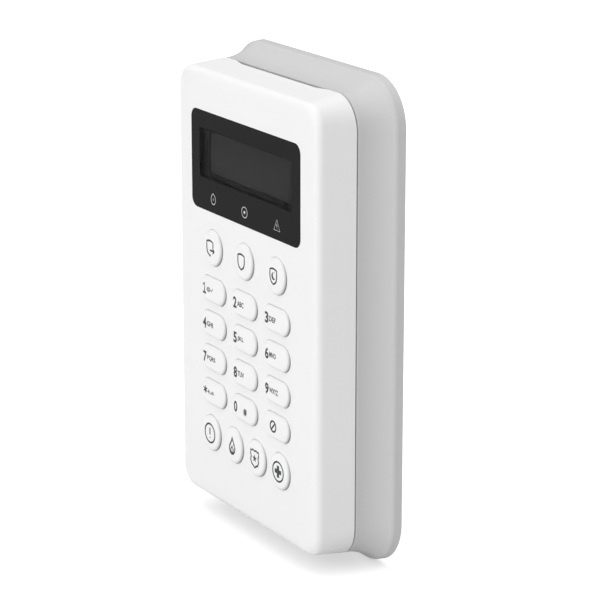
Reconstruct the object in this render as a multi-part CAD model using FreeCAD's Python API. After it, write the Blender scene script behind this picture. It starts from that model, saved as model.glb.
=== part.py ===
import FreeCAD, Part
import math
import os

from FreeCAD import Vector

# Alarm keypad panel: a flared wall base, and a front unit that tilts off it about its bottom edge.
# Millimetres. +X is right seen from the front, the keys face -Y, +Z is up.
# The origin is the centre of the base's back face, which lies flat on the wall at y = 0.

# Overall sizes
cover_width = 106.2  # at the seam, where the cover is widest
cover_height = 176.8
cover_corner = 12.8
side_draft = 1.4  # how far each side wall comes in between the seam and the front face
end_draft = 2.6  # the same for the top and bottom walls
front_corner = 7.6
front_rise = 0.5  # middle of the front face above the middle of the base
front_depth = 16.5  # middle of the seam to the front face
seam_gap = 0.6
flare = 5.5  # how far the base's rim stands out past the cover
rim_draft = 0.5  # how much of that the rim's own side adds
rim_thickness = 4.2
rim_edge_radius = 1.2
rim_back_chamfer = 0.5
front_edge_radius = 3.4

# Walls
cover_wall = 2.4
base_wall = 2.2
base_floor = 2.2
chassis_wall = 1.8
tray_wall = 1.6
tongue_wall = 1.4
tongue_reach = 2.2  # how far the base's tongue stands into the cover
seam_chamfer = 0.3

# Clearances
tongue_clearance = 0.7
window_clearance = 0.1
key_clearance = 0.2
flange_clearance = 0.1
board_clearance = 0.5
chassis_clearance = 1.3  # lets the chassis top swing out past the tongue
pin_clearance = 0.05
screw_clearance = 0.15
cell_clearance = 0.3
cell_floor_gap = 1.1  # cells to the base's floor
part_gap = 0.1

# Notch in the cover's rear top edge, for a fingertip
notch_width = 68.0
notch_depth = 1.6
notch_ramp = 7.0

# Display
window_width = 81.5
window_height = 38.8
window_corner = 3.8
window_z = 51.5
window_thickness = 1.6
window_ledge = 2.6
mask_thickness = 0.2
view_width = 67.0
view_height = 19.0
view_z = 53.8
lcd_setback = 4.3  # front face to the glass
lcd_width = 73.0
lcd_height = 24.0
lcd_thickness = 2.0
lcd_frame_wall = 1.2
lcd_lip = 0.8
lcd_view_margin = 0.5  # clear view inside the frame's lip
strip_width = 2.0
strip_end_gap = 2.0
status_z = 37.4
status_pitch = 24.0
status_hole_radius = 2.9
guide_bar_height = 5.0
guide_bar_thickness = 1.4
guide_bar_overhang = 4.5
guide_led_gap = 0.4

# Keys
column_pitch = 24.0
row_pitch = 13.94
first_row_z = 1.18
oval_key_width = 19.2
oval_key_height = 10.0
function_key_size = 14.2
function_row_z = 18.2
alarm_key_size = 14.4
alarm_pitch = 17.57
alarm_row_z = -57.63
key_rise = 1.2  # also how far a key travels
key_edge_radius = 0.8
key_flange_width = 0.8
key_flange_thickness = 1.0
key_stem_inset = 2.2

# Silicone key mat
mat_thickness = 1.2
dome_height = 2.1
dome_inset = 0.5
mat_margin = 0.6
mat_corner = 3.0
pill_radius = 1.2
pill_thickness = 0.7
pill_seat = 0.2  # how far a pill is set into the mat
well_wall = 0.9

# Circuit board
board_depth = 9.4  # front face of the cover to front of the board
board_thickness = 1.6
board_side_inset = 13.1  # board's edges in from the cover's outline
board_top_inset = 13.4
board_bottom_inset = 18.4
board_corner = 2.0

# Screws
cover_boss_radius = 3.2
cover_boss_side_inset = 8.9  # bosses in from the cover's outline
cover_boss_top_inset = 11.9
cover_boss_bottom_inset = 18.4
cover_boss_middle_z = -4.0
board_boss_radius = 2.4
board_boss_x = 37.2
board_boss_rows = (-50.0, 25.6)
cover_screw_radius = 1.25
board_screw_radius = 0.9
screw_head_ratio = 1.9
screw_head_height = 1.3
screw_bite = 6.0

# Battery tray, for four AA cells side by side
cell_radius = 7.1
cell_length = 49.2
cell_nub_radius = 2.7
cell_nub_height = 1.2
cell_count = 4
contact_space = 3.6
contact_thickness = 0.4
contact_width = 8.0
leaf_drop = 0.9
tray_bottom_z = 4.0
tray_depth = 9.0

# Tamper plunger
tamper_x = 30.0
tamper_rise = 10.0  # above the board's bottom edge
plunger_radius = 1.9
plunger_collar_radius = 3.0
plunger_collar_thickness = 0.8
plunger_travel = 1.5
guide_depth = 7.2
guide_wall = 1.1
spring_wire_radius = 0.22
spring_turns = 4
spring_sides = 12
tamper_post_height = 6.3
tamper_post_radius = 3.6
switch_size = 6.0
switch_height = 2.2
switch_button_radius = 1.5
switch_button_height = 0.4

# Hinge along the bottom edge
hinge_x = 30.0
hinge_pin_radius = 0.8
hinge_pin_length = 16.0
hinge_setback = 1.4  # seam to pin axis
hinge_rise = 1.65  # cover's bottom to pin axis
ear_radius = 1.55
ear_width = 10.0
ear_clearance = 0.35
knuckle_wall = 3.0

# Wall fixings and cable way
wall_hole_radius = 2.25
wall_hole_x = 38.0
wall_hole_end_inset = 18.4  # in from the cover's top and bottom
wall_hole_pad = 1.2
gang_slot_spacing = 83.3
gang_slot_length = 8.0
gang_slot_radius = 2.1
cable_width = 34.0
cable_height = 20.0
cable_z = -20.0
cable_corner = 3.0

# Parts on the board's back
terminal_width = 20.0
terminal_height = 9.0
terminal_depth = 10.0
terminal_count = 4
terminal_screw_radius = 1.6
terminal_screw_rise = 1.2  # above the middle of the block
terminal_screw_depth = 3.2
terminal_slot_width = 0.5
terminal_mouth_width = 3.0
terminal_mouth_from = 7.6  # from the block's rear face
terminal_mouth_to = 4.2
terminal_mouth_reach = 4.5
sounder_radius = 9.0
sounder_height = 3.0
sounder_x = 20.0
sounder_drop = 23.0  # below the top of the board
radio_width = 17.0
radio_height = 24.0
radio_x = -24.0
radio_drop = 25.0
radio_board_thickness = 0.8
shield_height = 1.8
processor_size = 10.0
processor_height = 1.2
processor_z = 12.0
antenna_width = 42.0
antenna_height = 4.0
antenna_thickness = 0.5
antenna_standoff = 2.2
antenna_leg = 1.2
antenna_feed_pitch = 8.0
led_size = 1.6
led_height = 0.7
capacitor_radius = 1.6
capacitor_height = 2.6

# Planes and places worked out from the sizes above
seam_depth = base_floor + cell_floor_gap + 2 * cell_radius + cell_clearance - seam_gap / 2
total_depth = seam_depth + front_depth
front_width = cover_width - 2 * side_draft
front_height = cover_height - 2 * end_draft
board_width = cover_width - 2 * board_side_inset
board_top_z = cover_height / 2 - board_top_inset
board_bottom_z = board_bottom_inset - cover_height / 2
cover_boss_x = cover_width / 2 - cover_boss_side_inset
cover_boss_rows = (
    cover_boss_bottom_inset - cover_height / 2,
    cover_boss_middle_z,
    cover_height / 2 - cover_boss_top_inset,
)
wall_hole_z = cover_height / 2 - wall_hole_end_inset
sounder_z = board_top_z - sounder_drop
tamper_z = board_bottom_z + tamper_rise
radio_z = board_top_z - radio_drop
front_y = -total_depth
face_back_y = front_y + cover_wall
cover_rear_y = -seam_depth - seam_gap / 2
base_front_y = -seam_depth + seam_gap / 2
board_front_y = front_y + board_depth
board_back_y = board_front_y + board_thickness
chassis_back_y = cover_rear_y
chassis_front_y = chassis_back_y - chassis_wall
mat_front_y = board_front_y - mat_thickness
dome_front_y = mat_front_y - dome_height
hinge_y = -seam_depth - hinge_setback
hinge_z = -cover_height / 2 + hinge_rise
lcd_front_y = front_y + lcd_setback
lcd_back_y = lcd_front_y + lcd_thickness

os.makedirs("parts", exist_ok=True)


# Flat outlines and simple solids. Every outline lies across Y.


def outline(width, height, radius, y, x=0.0, z=0.0):
    half_x = width / 2 - radius
    half_z = height / 2 - radius
    corners = ((1, 1, 0), (-1, 1, 90), (-1, -1, 180), (1, -1, 270))
    edges = []
    last = None
    first = None
    for side_x, side_z, start in corners:
        centre_x = x + side_x * half_x
        centre_z = z + side_z * half_z
        points = []
        for turn in (start, start + 45, start + 90):
            angle = math.radians(turn)
            points.append(
                Vector(centre_x + radius * math.cos(angle), y, centre_z + radius * math.sin(angle))
            )
        if last is not None and last.distanceToPoint(points[0]) > 1e-6:
            edges.append(Part.LineSegment(last, points[0]).toShape())
        edges.append(Part.Arc(*points).toShape())
        first = first or points[0]
        last = points[2]
    if last.distanceToPoint(first) > 1e-6:
        edges.append(Part.LineSegment(last, first).toShape())
    return Part.Wire(edges)


def plate(width, height, radius, y_from, y_to, x=0.0, z=0.0):
    face = Part.Face(outline(width, height, radius, y_from, x, z))
    return face.extrude(Vector(0, y_to - y_from, 0))


def rod(radius, y_from, y_to, x=0.0, z=0.0):
    return Part.makeCylinder(radius, y_to - y_from, Vector(x, y_from, z), Vector(0, 1, 0))


def cross_rod(radius, length, x, y, z):
    return Part.makeCylinder(radius, length, Vector(x - length / 2, y, z), Vector(1, 0, 0))


def block(x_from, x_to, y_from, y_to, z_from, z_to):
    size = (x_to - x_from, y_to - y_from, z_to - z_from)
    return Part.makeBox(*size, Vector(x_from, y_from, z_from))


def centred_block(width, height, y_from, y_to, x, z):
    return block(x - width / 2, x + width / 2, y_from, y_to, z - height / 2, z + height / 2)


def edges_at_y(shape, y):
    found = []
    for edge in shape.Edges:
        box = edge.BoundBox
        if abs(box.YMin - y) < 1e-4 and abs(box.YMax - y) < 1e-4:
            found.append(edge)
    return found


def save(shape, node):
    shape = shape.removeSplitter()
    if len(shape.Solids) == 1:
        shape = shape.Solids[0]
    shape.exportStep("parts/" + node + ".step")
    print(node, len(shape.Solids), "solids", round(shape.Volume, 1), "mm3", shape.isValid())


def save_group(shapes, node):
    shape = Part.makeCompound([part for shape in shapes for part in shape.Solids])
    shape.exportStep("parts/" + node + ".step")
    print(node, len(shape.Solids), "solids", round(shape.Volume, 1), "mm3", shape.isValid())


# The keys: name, centre, width and height


def key_list():
    keys = []
    for name, column in (("away", -1), ("stay", 0), ("night", 1)):
        size = function_key_size
        keys.append(("key_" + name, column * column_pitch, function_row_z, size, size))
    ovals = (("1", "2", "3"), ("4", "5", "6"), ("7", "8", "9"), ("star", "0", "clear"))
    for row, names in enumerate(ovals):
        z = first_row_z - row * row_pitch
        for column, name in enumerate(names):
            x = (column - 1) * column_pitch
            keys.append(("key_" + name, x, z, oval_key_width, oval_key_height))
    for place, name in enumerate(("alert", "fire", "police", "medical")):
        size = alarm_key_size
        keys.append(("key_" + name, (place - 1.5) * alarm_pitch, alarm_row_z, size, size))
    return keys


def key_slab(key, grow, y_from, y_to):
    name, x, z, width, height = key
    width = width + 2 * grow
    height = height + 2 * grow
    return plate(width, height, min(width, height) / 2, y_from, y_to, x, z)


def make_key(key):
    cap = key_slab(key, 0, front_y - key_rise, face_back_y + flange_clearance)
    cap = cap.makeFillet(key_edge_radius, edges_at_y(cap, front_y - key_rise))
    flange_front = face_back_y + flange_clearance
    flange_back = flange_front + key_flange_thickness
    flange = key_slab(key, key_flange_width, flange_front, flange_back)
    stem = key_slab(key, -key_stem_inset, flange_back, dome_front_y)
    save(cap.fuse(flange).fuse(stem), key[0])


# Front cover


def cover_boss_places():
    return [(side * cover_boss_x, z) for z in cover_boss_rows for side in (-1, 1)]


def board_boss_places():
    return [(side * board_boss_x, z) for z in board_boss_rows for side in (-1, 1)]


def tapered_body(inset, y_front, y_rear):
    wires = []
    for y in (y_front, y_rear):
        along = (y - front_y) / (cover_rear_y - front_y)
        width = front_width + along * (cover_width - front_width) - 2 * inset
        height = front_height + along * (cover_height - front_height) - 2 * inset
        radius = front_corner + along * (cover_corner - front_corner) - inset
        wires.append(outline(width, height, radius, y, 0, front_rise * (1 - along)))
    return Part.makeLoft(wires, True, True)


def notch_tool():
    half = notch_width / 2
    rear = cover_rear_y + 1
    floor = cover_rear_y - notch_depth
    edges = []
    left_top = Vector(-half, cover_rear_y, 0)
    left_floor = Vector(-half + notch_ramp, floor, 0)
    right_floor = Vector(half - notch_ramp, floor, 0)
    right_top = Vector(half, cover_rear_y, 0)
    corners = [left_top, left_floor, right_floor, right_top]
    corners += [Vector(half, rear, 0), Vector(-half, rear, 0), left_top]
    for start, end in zip(corners, corners[1:]):
        edges.append(Part.LineSegment(start, end).toShape())
    profile = Part.Face(Part.Wire(edges))
    profile.translate(Vector(0, 0, cover_height / 2 - cover_wall * 2))
    return profile.extrude(Vector(0, 0, cover_wall * 3))


def hinge_sides():
    return (-hinge_x, hinge_x)


def knuckle(x):
    width = hinge_pin_length + 2
    bottom = -cover_height / 2 + cover_wall / 2
    top = hinge_z + hinge_pin_radius + 1
    return block(x - width / 2, x + width / 2, hinge_y - knuckle_wall, cover_rear_y, bottom, top)


def make_front_cover():
    body = tapered_body(0, front_y, cover_rear_y)
    body = body.makeFillet(front_edge_radius, edges_at_y(body, front_y))
    body = body.cut(tapered_body(cover_wall, face_back_y, cover_rear_y + 1))
    for x, z in cover_boss_places():
        body = body.fuse(rod(cover_boss_radius, face_back_y - 0.5, chassis_front_y - part_gap, x, z))
    for x, z in board_boss_places():
        body = body.fuse(rod(board_boss_radius, face_back_y - 0.5, board_front_y, x, z))
    for x in hinge_sides():
        body = body.fuse(knuckle(x))

    cuts = [notch_tool()]
    clear = 2 * window_clearance
    corner = window_corner + window_clearance
    window_back = front_y + window_thickness + mask_thickness
    cuts.append(
        plate(window_width + clear, window_height + clear, corner, front_y - 1, window_back, 0, window_z)
    )
    ledge = 2 * window_ledge
    cuts.append(
        plate(window_width - ledge, window_height - ledge, 1.5, front_y, face_back_y + 1, 0, window_z)
    )
    for key in key_list():
        cuts.append(key_slab(key, key_clearance, front_y - 1, face_back_y + 1))
    for x, z in cover_boss_places():
        bottom = chassis_front_y - screw_bite
        cuts.append(rod(cover_screw_radius, bottom, cover_rear_y, x, z))
    for x, z in board_boss_places():
        cuts.append(rod(board_screw_radius, board_front_y - screw_bite / 2, board_front_y + 1, x, z))
    ear_space = ear_radius + ear_clearance
    for x in hinge_sides():
        half = ear_width / 2 + ear_clearance
        low = -cover_height / 2 - 1
        high = hinge_z + ear_space
        cuts.append(block(x - half, x + half, hinge_y - ear_space, cover_rear_y + 1, low, high + 2))
        cuts.append(cross_rod(hinge_pin_radius, hinge_pin_length, x, hinge_y, hinge_z))
    save(body.cut(cuts), "front_cover")


def make_hinge_pins():
    save_group(
        [cross_rod(hinge_pin_radius, hinge_pin_length, x, hinge_y, hinge_z) for x in hinge_sides()],
        "hinge_pins",
    )


# Display


def make_display():
    window_back = front_y + window_thickness
    window = plate(window_width, window_height, window_corner, front_y, window_back, 0, window_z)
    save(window, "display_window")

    mask_back = window_back + mask_thickness
    mask = plate(window_width, window_height, window_corner, window_back, mask_back, 0, window_z)
    cuts = [plate(view_width, view_height, 0.4, window_back, mask_back, 0, view_z)]
    for column in (-1, 0, 1):
        x = column * status_pitch
        cuts.append(rod(status_hole_radius, window_back, mask_back, x, status_z))
    save(mask.cut(cuts), "window_mask")

    glass = centred_block(lcd_width, lcd_height, lcd_front_y, lcd_back_y, 0, view_z)
    save(glass, "lcd_glass")

    # The frame wraps the glass and the backlight, and its lip shows round the view
    outer_width = lcd_width + 2 * (lcd_frame_wall + part_gap)
    outer_height = lcd_height + 2 * (lcd_frame_wall + part_gap)
    lip_front = lcd_front_y - part_gap - lcd_lip
    frame = plate(outer_width, outer_height, 1.0, lip_front, board_front_y, 0, view_z)
    inside = centred_block(
        lcd_width + 2 * part_gap,
        lcd_height + 2 * part_gap,
        lcd_front_y - part_gap,
        board_front_y + 1,
        0,
        view_z,
    )
    margin = 2 * lcd_view_margin
    view = centred_block(
        view_width + margin, view_height + margin, lip_front - 1, lcd_front_y, 0, view_z
    )
    save(frame.cut([inside, view]), "lcd_frame")

    strip_z = (lcd_height - strip_width) / 2 - 0.5
    strips = []
    for side in (-1, 1):
        z = view_z + side * strip_z
        length = lcd_width - 2 * strip_end_gap
        strips.append(centred_block(length, strip_width, lcd_back_y, board_front_y, 0, z))
    save_group(strips, "lcd_connector_strips")

    light_height = lcd_height - 2 * (strip_width + 0.5 + board_clearance) + 0.4
    light = centred_block(
        lcd_width - 2, light_height, lcd_back_y + part_gap, board_front_y - part_gap, 0, view_z
    )
    save(light, "lcd_backlight")


def make_status_lights():
    # One clear light guide carries three short pipes up to the marks in the window
    guide_front = front_y + window_thickness + mask_thickness + part_gap
    pipe_back = board_front_y - led_height - guide_led_gap
    bar_front = pipe_back - guide_bar_thickness
    bar_width = 2 * (status_pitch + guide_bar_overhang)
    bar = centred_block(bar_width, guide_bar_height, bar_front, pipe_back, 0, status_z)
    places = [column * status_pitch for column in (-1, 0, 1)]
    pipes = [rod(status_hole_radius - 0.4, guide_front, bar_front, x, status_z) for x in places]
    save(bar.fuse(pipes), "status_light_guide")
    leds = []
    for x in places:
        front = board_front_y - led_height
        leds.append(centred_block(led_size * 2, led_size, front, board_front_y, x, status_z))
    save_group(leds, "status_leds")


# Key mat and circuit board


def make_keymat():
    keys = key_list()
    half_x = max(abs(x) + width / 2 for name, x, z, width, height in keys) + mat_margin
    top = max(z + height / 2 for name, x, z, width, height in keys) + mat_margin
    bottom = min(z - height / 2 for name, x, z, width, height in keys) - mat_margin
    sheet = plate(2 * half_x, top - bottom, mat_corner, mat_front_y, board_front_y, 0, (top + bottom) / 2)
    for key in keys:
        dome = key_slab(key, -key_stem_inset - dome_inset, dome_front_y, mat_front_y)
        sheet = sheet.fuse(dome)
        # The well behind each dome, where its contact pill hangs over the board
        well_front = mat_front_y - pill_thickness + pill_seat
        well = key_slab(key, -key_stem_inset - dome_inset - well_wall, well_front, board_front_y)
        sheet = sheet.cut(well)
    save(sheet, "keymat")
    pills = []
    for key in keys:
        pill_back = mat_front_y + pill_seat
        pills.append(rod(pill_radius, pill_back - pill_thickness, pill_back, key[1], key[2]))
    save_group(pills, "contact_pills")


def make_main_board():
    height = board_top_z - board_bottom_z
    middle = (board_top_z + board_bottom_z) / 2
    board = plate(board_width, height, board_corner, board_front_y, board_back_y, 0, middle)
    holes = []
    for x, z in board_boss_places():
        holes.append(rod(board_screw_radius + screw_clearance, board_front_y, board_back_y, x, z))
    for x, z in cover_boss_places():
        holes.append(rod(cover_boss_radius + board_clearance, board_front_y, board_back_y, x, z))
    save(board.cut(holes), "main_board")


def make_resistors():
    resistors = []
    for row in range(-1, 4):
        z = first_row_z - (row - 0.5) * row_pitch + (1.2 if row < 0 else 0)
        for column in (-0.5, 0.5):
            front = board_back_y
            resistors.append(
                centred_block(led_size * 2, led_size, front, front + led_height, column * column_pitch, z)
            )
    save_group(resistors, "resistors")


def make_terminal_block():
    y_from = board_back_y
    y_to = board_back_y + terminal_depth
    body = centred_block(terminal_width, terminal_height, y_from, y_to, 0, cable_z)
    pitch = terminal_width / terminal_count
    cuts = []
    screws = []
    for place in range(terminal_count):
        x = (place + 0.5) * pitch - terminal_width / 2
        z = cable_z + terminal_screw_rise
        seat = y_to - terminal_screw_depth
        cuts.append(rod(terminal_screw_radius + screw_clearance, seat, y_to + 1, x, z))
        mouth_z = cable_z - terminal_height / 2
        mouth_y = (y_to - terminal_mouth_from, y_to - terminal_mouth_to)
        half = terminal_mouth_width / 2
        cuts.append(block(x - half, x + half, *mouth_y, mouth_z - 1, mouth_z + terminal_mouth_reach))
        head = y_to - 0.8
        screw = rod(terminal_screw_radius, seat + part_gap, head, x, z)
        slot = centred_block(2 * terminal_screw_radius + 1, terminal_slot_width, head - 0.7, y_to, x, z)
        screws.append(screw.cut(slot))
    save(body.cut(cuts), "terminal_block")
    save_group(screws, "terminal_screws")


def make_board_parts():
    save(
        rod(sounder_radius, board_back_y, board_back_y + sounder_height, sounder_x, sounder_z).cut(
            rod(1.5, board_back_y + 1, board_back_y + sounder_height, sounder_x, sounder_z)
        ),
        "sounder",
    )
    radio_back = board_back_y + radio_board_thickness
    save(
        centred_block(radio_width, radio_height, board_back_y, radio_back, radio_x, radio_z),
        "radio_module",
    )
    shield = centred_block(
        radio_width - 2, radio_height - 6, radio_back, radio_back + shield_height, radio_x, radio_z - 2
    )
    hollow = centred_block(
        radio_width - 2.6, radio_height - 6.6, radio_back, radio_back + shield_height - 0.3,
        radio_x, radio_z - 2,
    )
    save(shield.cut(hollow), "radio_shield")
    save(
        centred_block(
            processor_size, processor_size, board_back_y, board_back_y + processor_height, 0, processor_z
        ),
        "processor",
    )
    caps = []
    for x, z in ((-14, 0), (-20, 0), (14, 0), (20, 0)):
        caps.append(rod(capacitor_radius, board_back_y, board_back_y + capacitor_height, x, z - 2))
    save_group(caps, "capacitors")


def make_antenna():
    top = board_top_z - 2
    y_strip = board_back_y + antenna_standoff
    strip = block(
        -antenna_width / 2, antenna_width / 2, y_strip, y_strip + antenna_thickness, top - antenna_height, top
    )
    legs = []
    for x in (-antenna_width / 2, -antenna_width / 2 + antenna_feed_pitch):
        low = top - antenna_height
        legs.append(block(x, x + antenna_leg, board_back_y, y_strip, low, low + antenna_leg))
    end = block(
        antenna_width / 2 - 0.8, antenna_width / 2, board_back_y, y_strip, top - antenna_height, top
    )
    save(strip.fuse(legs).fuse(end), "antenna")


# Rear chassis with its battery tray


def cell_places():
    pitch = 2 * (cell_radius + cell_clearance)
    return [(place - (cell_count - 1) / 2) * pitch for place in range(cell_count)]


def cell_y():
    return chassis_back_y + cell_clearance + cell_radius


def tray_inner_width():
    return 2 * (cell_radius + cell_clearance) * cell_count + 2 * cell_clearance


def tray_inner_height():
    return cell_length + cell_nub_height + 2 * contact_space


def tray_middle_z():
    return tray_bottom_z + tray_wall + tray_inner_height() / 2


def make_rear_chassis():
    reach = 2 * (cover_wall + tongue_clearance + tongue_wall + chassis_clearance)
    width = cover_width - reach
    height = cover_height - reach
    body = plate(width, height, cover_corner - reach / 2, chassis_front_y, chassis_back_y)
    middle = tray_middle_z()
    tray = centred_block(
        tray_inner_width() + 2 * tray_wall,
        tray_inner_height() + 2 * tray_wall,
        chassis_back_y - 0.5,
        chassis_back_y + tray_depth,
        0,
        middle,
    )
    room = centred_block(
        tray_inner_width(), tray_inner_height(), chassis_back_y, chassis_back_y + tray_depth + 1, 0, middle
    )
    body = body.fuse(tray).cut(room)

    guide_back = chassis_back_y + guide_depth
    guide_outer = plunger_collar_radius + screw_clearance + guide_wall
    body = body.fuse(rod(guide_outer, chassis_back_y - 0.5, guide_back, tamper_x, tamper_z))
    bore = plunger_collar_radius + screw_clearance
    stem_bore = plunger_radius + screw_clearance
    cuts = [
        rod(bore, chassis_back_y, guide_back - guide_wall, tamper_x, tamper_z),
        rod(stem_bore, chassis_front_y - 1, guide_back + 1, tamper_x, tamper_z),
    ]
    for x, z in cover_boss_places():
        cuts.append(rod(cover_screw_radius + screw_clearance, chassis_front_y, chassis_back_y, x, z))
    opening_width = terminal_width + 4 * board_clearance
    opening_height = terminal_height + 4 * board_clearance
    cuts.append(
        plate(opening_width, opening_height, 1.0, chassis_front_y - 1, chassis_back_y + 1, 0, cable_z)
    )
    save(body.cut(cuts), "rear_chassis")


def make_cells():
    middle = tray_middle_z()
    for place, x in enumerate(cell_places()):
        up = 1 if place % 2 == 0 else -1
        bottom = Vector(x, cell_y(), middle - up * (cell_length + cell_nub_height) / 2)
        axis = Vector(0, 0, up)
        can = Part.makeCylinder(cell_radius, cell_length, bottom, axis)
        rims = [edge for edge in can.Edges if edge.Closed and isinstance(edge.Curve, Part.Circle)]
        can = can.makeFillet(0.6, rims)
        nub = Part.makeCylinder(cell_nub_radius, cell_nub_height, bottom + axis * cell_length, axis)
        save(can.fuse(nub), "battery_cell_" + str(place + 1))


def make_battery_contacts():
    half = tray_inner_height() / 2
    middle = tray_middle_z()
    plates = []
    springs = []
    rear = chassis_back_y + tray_depth - 1
    for place, x in enumerate(cell_places()):
        nub_side = 1 if place % 2 == 0 else -1
        # Flat plate against the nub end, with a pressed dimple that reaches the nub
        wall = middle + nub_side * half
        inner = wall - nub_side * contact_thickness
        low, high = sorted((wall, inner))
        flat = block(
            x - contact_width / 2, x + contact_width / 2, chassis_back_y + 0.3, rear, low, high
        )
        reach = contact_space - contact_thickness
        dimple = Part.makeCylinder(1.8, reach, Vector(x, cell_y(), inner), Vector(0, 0, -nub_side))
        plates.append(flat.fuse(dimple))
        # Bent leaf spring against the flat end
        wall = middle - nub_side * half
        tip = wall + nub_side * contact_space
        elbow = wall + nub_side * contact_thickness
        bend = tip - nub_side * leaf_drop
        outline_points = [
            Vector(x, chassis_back_y + 0.3, wall),
            Vector(x, rear, wall),
            Vector(x, rear, elbow),
            Vector(x, chassis_back_y + 2.0, elbow),
            Vector(x, cell_y() - 0.5, tip - nub_side * contact_thickness),
            Vector(x, cell_y() + 1.5, bend - nub_side * contact_thickness),
            Vector(x, cell_y() + 1.5, bend),
            Vector(x, cell_y() - 0.5, tip),
            Vector(x, chassis_back_y + 1.2, elbow),
            Vector(x, chassis_back_y + 0.3, elbow),
        ]
        leaf = Part.Face(Part.makePolygon(outline_points + outline_points[:1]))
        leaf.translate(Vector(-contact_width / 2, 0, 0))
        springs.append(leaf.extrude(Vector(contact_width, 0, 0)))
    save_group(plates, "battery_plates")
    save_group(springs, "battery_leaf_springs")


# Screws


def screw(radius, y_head, y_tip, x, z):
    # The head's flat side rests at y_head, and the shank runs forward to y_tip
    head = rod(radius * screw_head_ratio, y_head, y_head + screw_head_height, x, z)
    head = head.makeFillet(0.4, edges_at_y(head, y_head + screw_head_height))
    arm = radius * 1.3
    for width, height in ((arm * 2, 0.5), (0.5, arm * 2)):
        head = head.cut(centred_block(width, height, y_head + 0.5, y_head + 2, x, z))
    return head.fuse(rod(radius, y_tip, y_head, x, z))


def make_screws():
    chassis_screws = []
    for x, z in cover_boss_places():
        tip = chassis_front_y - screw_bite + 0.5
        chassis_screws.append(screw(cover_screw_radius - 0.05, chassis_back_y, tip, x, z))
    save_group(chassis_screws, "chassis_screws")
    board_screws = []
    for x, z in board_boss_places():
        tip = board_front_y - screw_bite / 2 + 0.3
        board_screws.append(screw(board_screw_radius - 0.05, board_back_y, tip, x, z))
    save_group(board_screws, "board_screws")


# Tamper switch, plunger and spring


def collar_back_y():
    return chassis_back_y + guide_depth - guide_wall - plunger_travel - part_gap


def coil_spring(radius, y_from, length):
    # Flat wire, wound in short straight lengths so that every face is flat
    points = []
    for step in range(spring_turns * spring_sides + 1):
        angle = 2 * math.pi * step / spring_sides
        x = tamper_x + radius * math.cos(angle)
        z = tamper_z + radius * math.sin(angle)
        points.append(Vector(x, y_from + length * step / (spring_turns * spring_sides), z))
    half = spring_wire_radius
    lengths = []
    for start, end in zip(points, points[1:]):
        run = end - start
        run.normalize()
        out = Vector(start.x - tamper_x, 0, start.z - tamper_z)
        out = out + Vector(end.x - tamper_x, 0, end.z - tamper_z)
        out.normalize()
        up = run.cross(out)
        corners = [start + out * (half * a) + up * (half * b) - run * half * 0.3
                   for a, b in ((-1, -1), (1, -1), (1, 1), (-1, 1))]
        face = Part.Face(Part.makePolygon(corners + corners[:1]))
        lengths.append(face.extrude(run * (start.distanceToPoint(end) + half * 0.6)))
    return lengths[0].fuse(lengths[1:])


def make_tamper():
    button_back = board_back_y + switch_height + switch_button_height
    switch = centred_block(
        switch_size, switch_size, board_back_y, board_back_y + switch_height, tamper_x, tamper_z
    )
    button = rod(switch_button_radius, board_back_y + switch_height, button_back, tamper_x, tamper_z)
    save(switch.fuse(button), "tamper_switch")

    tip = -base_floor - tamper_post_height - part_gap
    stem = rod(plunger_radius, button_back + part_gap, tip, tamper_x, tamper_z)
    stem = stem.makeFillet(0.5, edges_at_y(stem, tip))
    collar_front = collar_back_y() - plunger_collar_thickness
    collar = rod(plunger_collar_radius, collar_front, collar_back_y(), tamper_x, tamper_z)
    save(stem.fuse(collar), "tamper_plunger")

    spring_front = chassis_back_y + spring_wire_radius + part_gap / 2
    spring_length = collar_front - chassis_back_y - 2 * spring_wire_radius - part_gap
    coil_radius = (plunger_radius + plunger_collar_radius + screw_clearance) / 2
    save(coil_spring(coil_radius, spring_front, spring_length), "tamper_spring")


# Wall base


def base_profile():
    # The wall's section, where x is how far a point stands outside the cover's outline
    cove_depth = -base_front_y - rim_thickness
    cove_flare = flare - rim_draft
    cove_radius = (cove_depth**2 + cove_flare**2) / (2 * cove_flare)
    edge = rim_edge_radius

    def cove(radius, depth):
        return Vector(cove_radius - math.sqrt(radius**2 - depth**2), base_front_y + depth, 0)

    chamfer = seam_chamfer
    outer_start = cove(cove_radius, chamfer)
    outer_end = cove(cove_radius, cove_depth - edge * 0.7)
    inner_radius = cove_radius + base_wall
    inner_start = cove(inner_radius, tongue_reach)
    inner_end = cove(inner_radius, cove_depth)
    tongue_out = -(cover_wall + tongue_clearance)
    tongue_in = tongue_out - tongue_wall

    edges = []

    def line(*corners):
        for start, end in zip(corners, corners[1:]):
            edges.append(Part.LineSegment(start, end).toShape())

    def arc(start, middle, end):
        edges.append(Part.Arc(start, middle, end).toShape())

    arc(outer_start, cove(cove_radius, cove_depth / 2), outer_end)
    rim_side = Vector(cove_flare + edge * 0.2, -rim_thickness + edge * 0.6, 0)
    bulge = Vector(cove_flare - edge * 0.1, -rim_thickness - edge * 0.1, 0)
    arc(outer_end, bulge, rim_side)
    line(
        rim_side,
        Vector(flare, -rim_back_chamfer, 0),
        Vector(flare - rim_back_chamfer, 0, 0),
        Vector(tongue_in, 0, 0),
        Vector(tongue_in, -base_floor, 0),
        Vector(inner_end.x, -base_floor, 0),
        inner_end,
    )
    arc(inner_end, cove(inner_radius, cove_depth / 2), inner_start)
    line(
        inner_start,
        Vector(tongue_in, inner_start.y, 0),
        Vector(tongue_in, base_front_y - tongue_reach, 0),
        Vector(tongue_out, base_front_y - tongue_reach, 0),
        Vector(tongue_out, base_front_y, 0),
        Vector(-chamfer, base_front_y, 0),
        outer_start,
    )
    return Part.Wire(edges)


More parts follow.
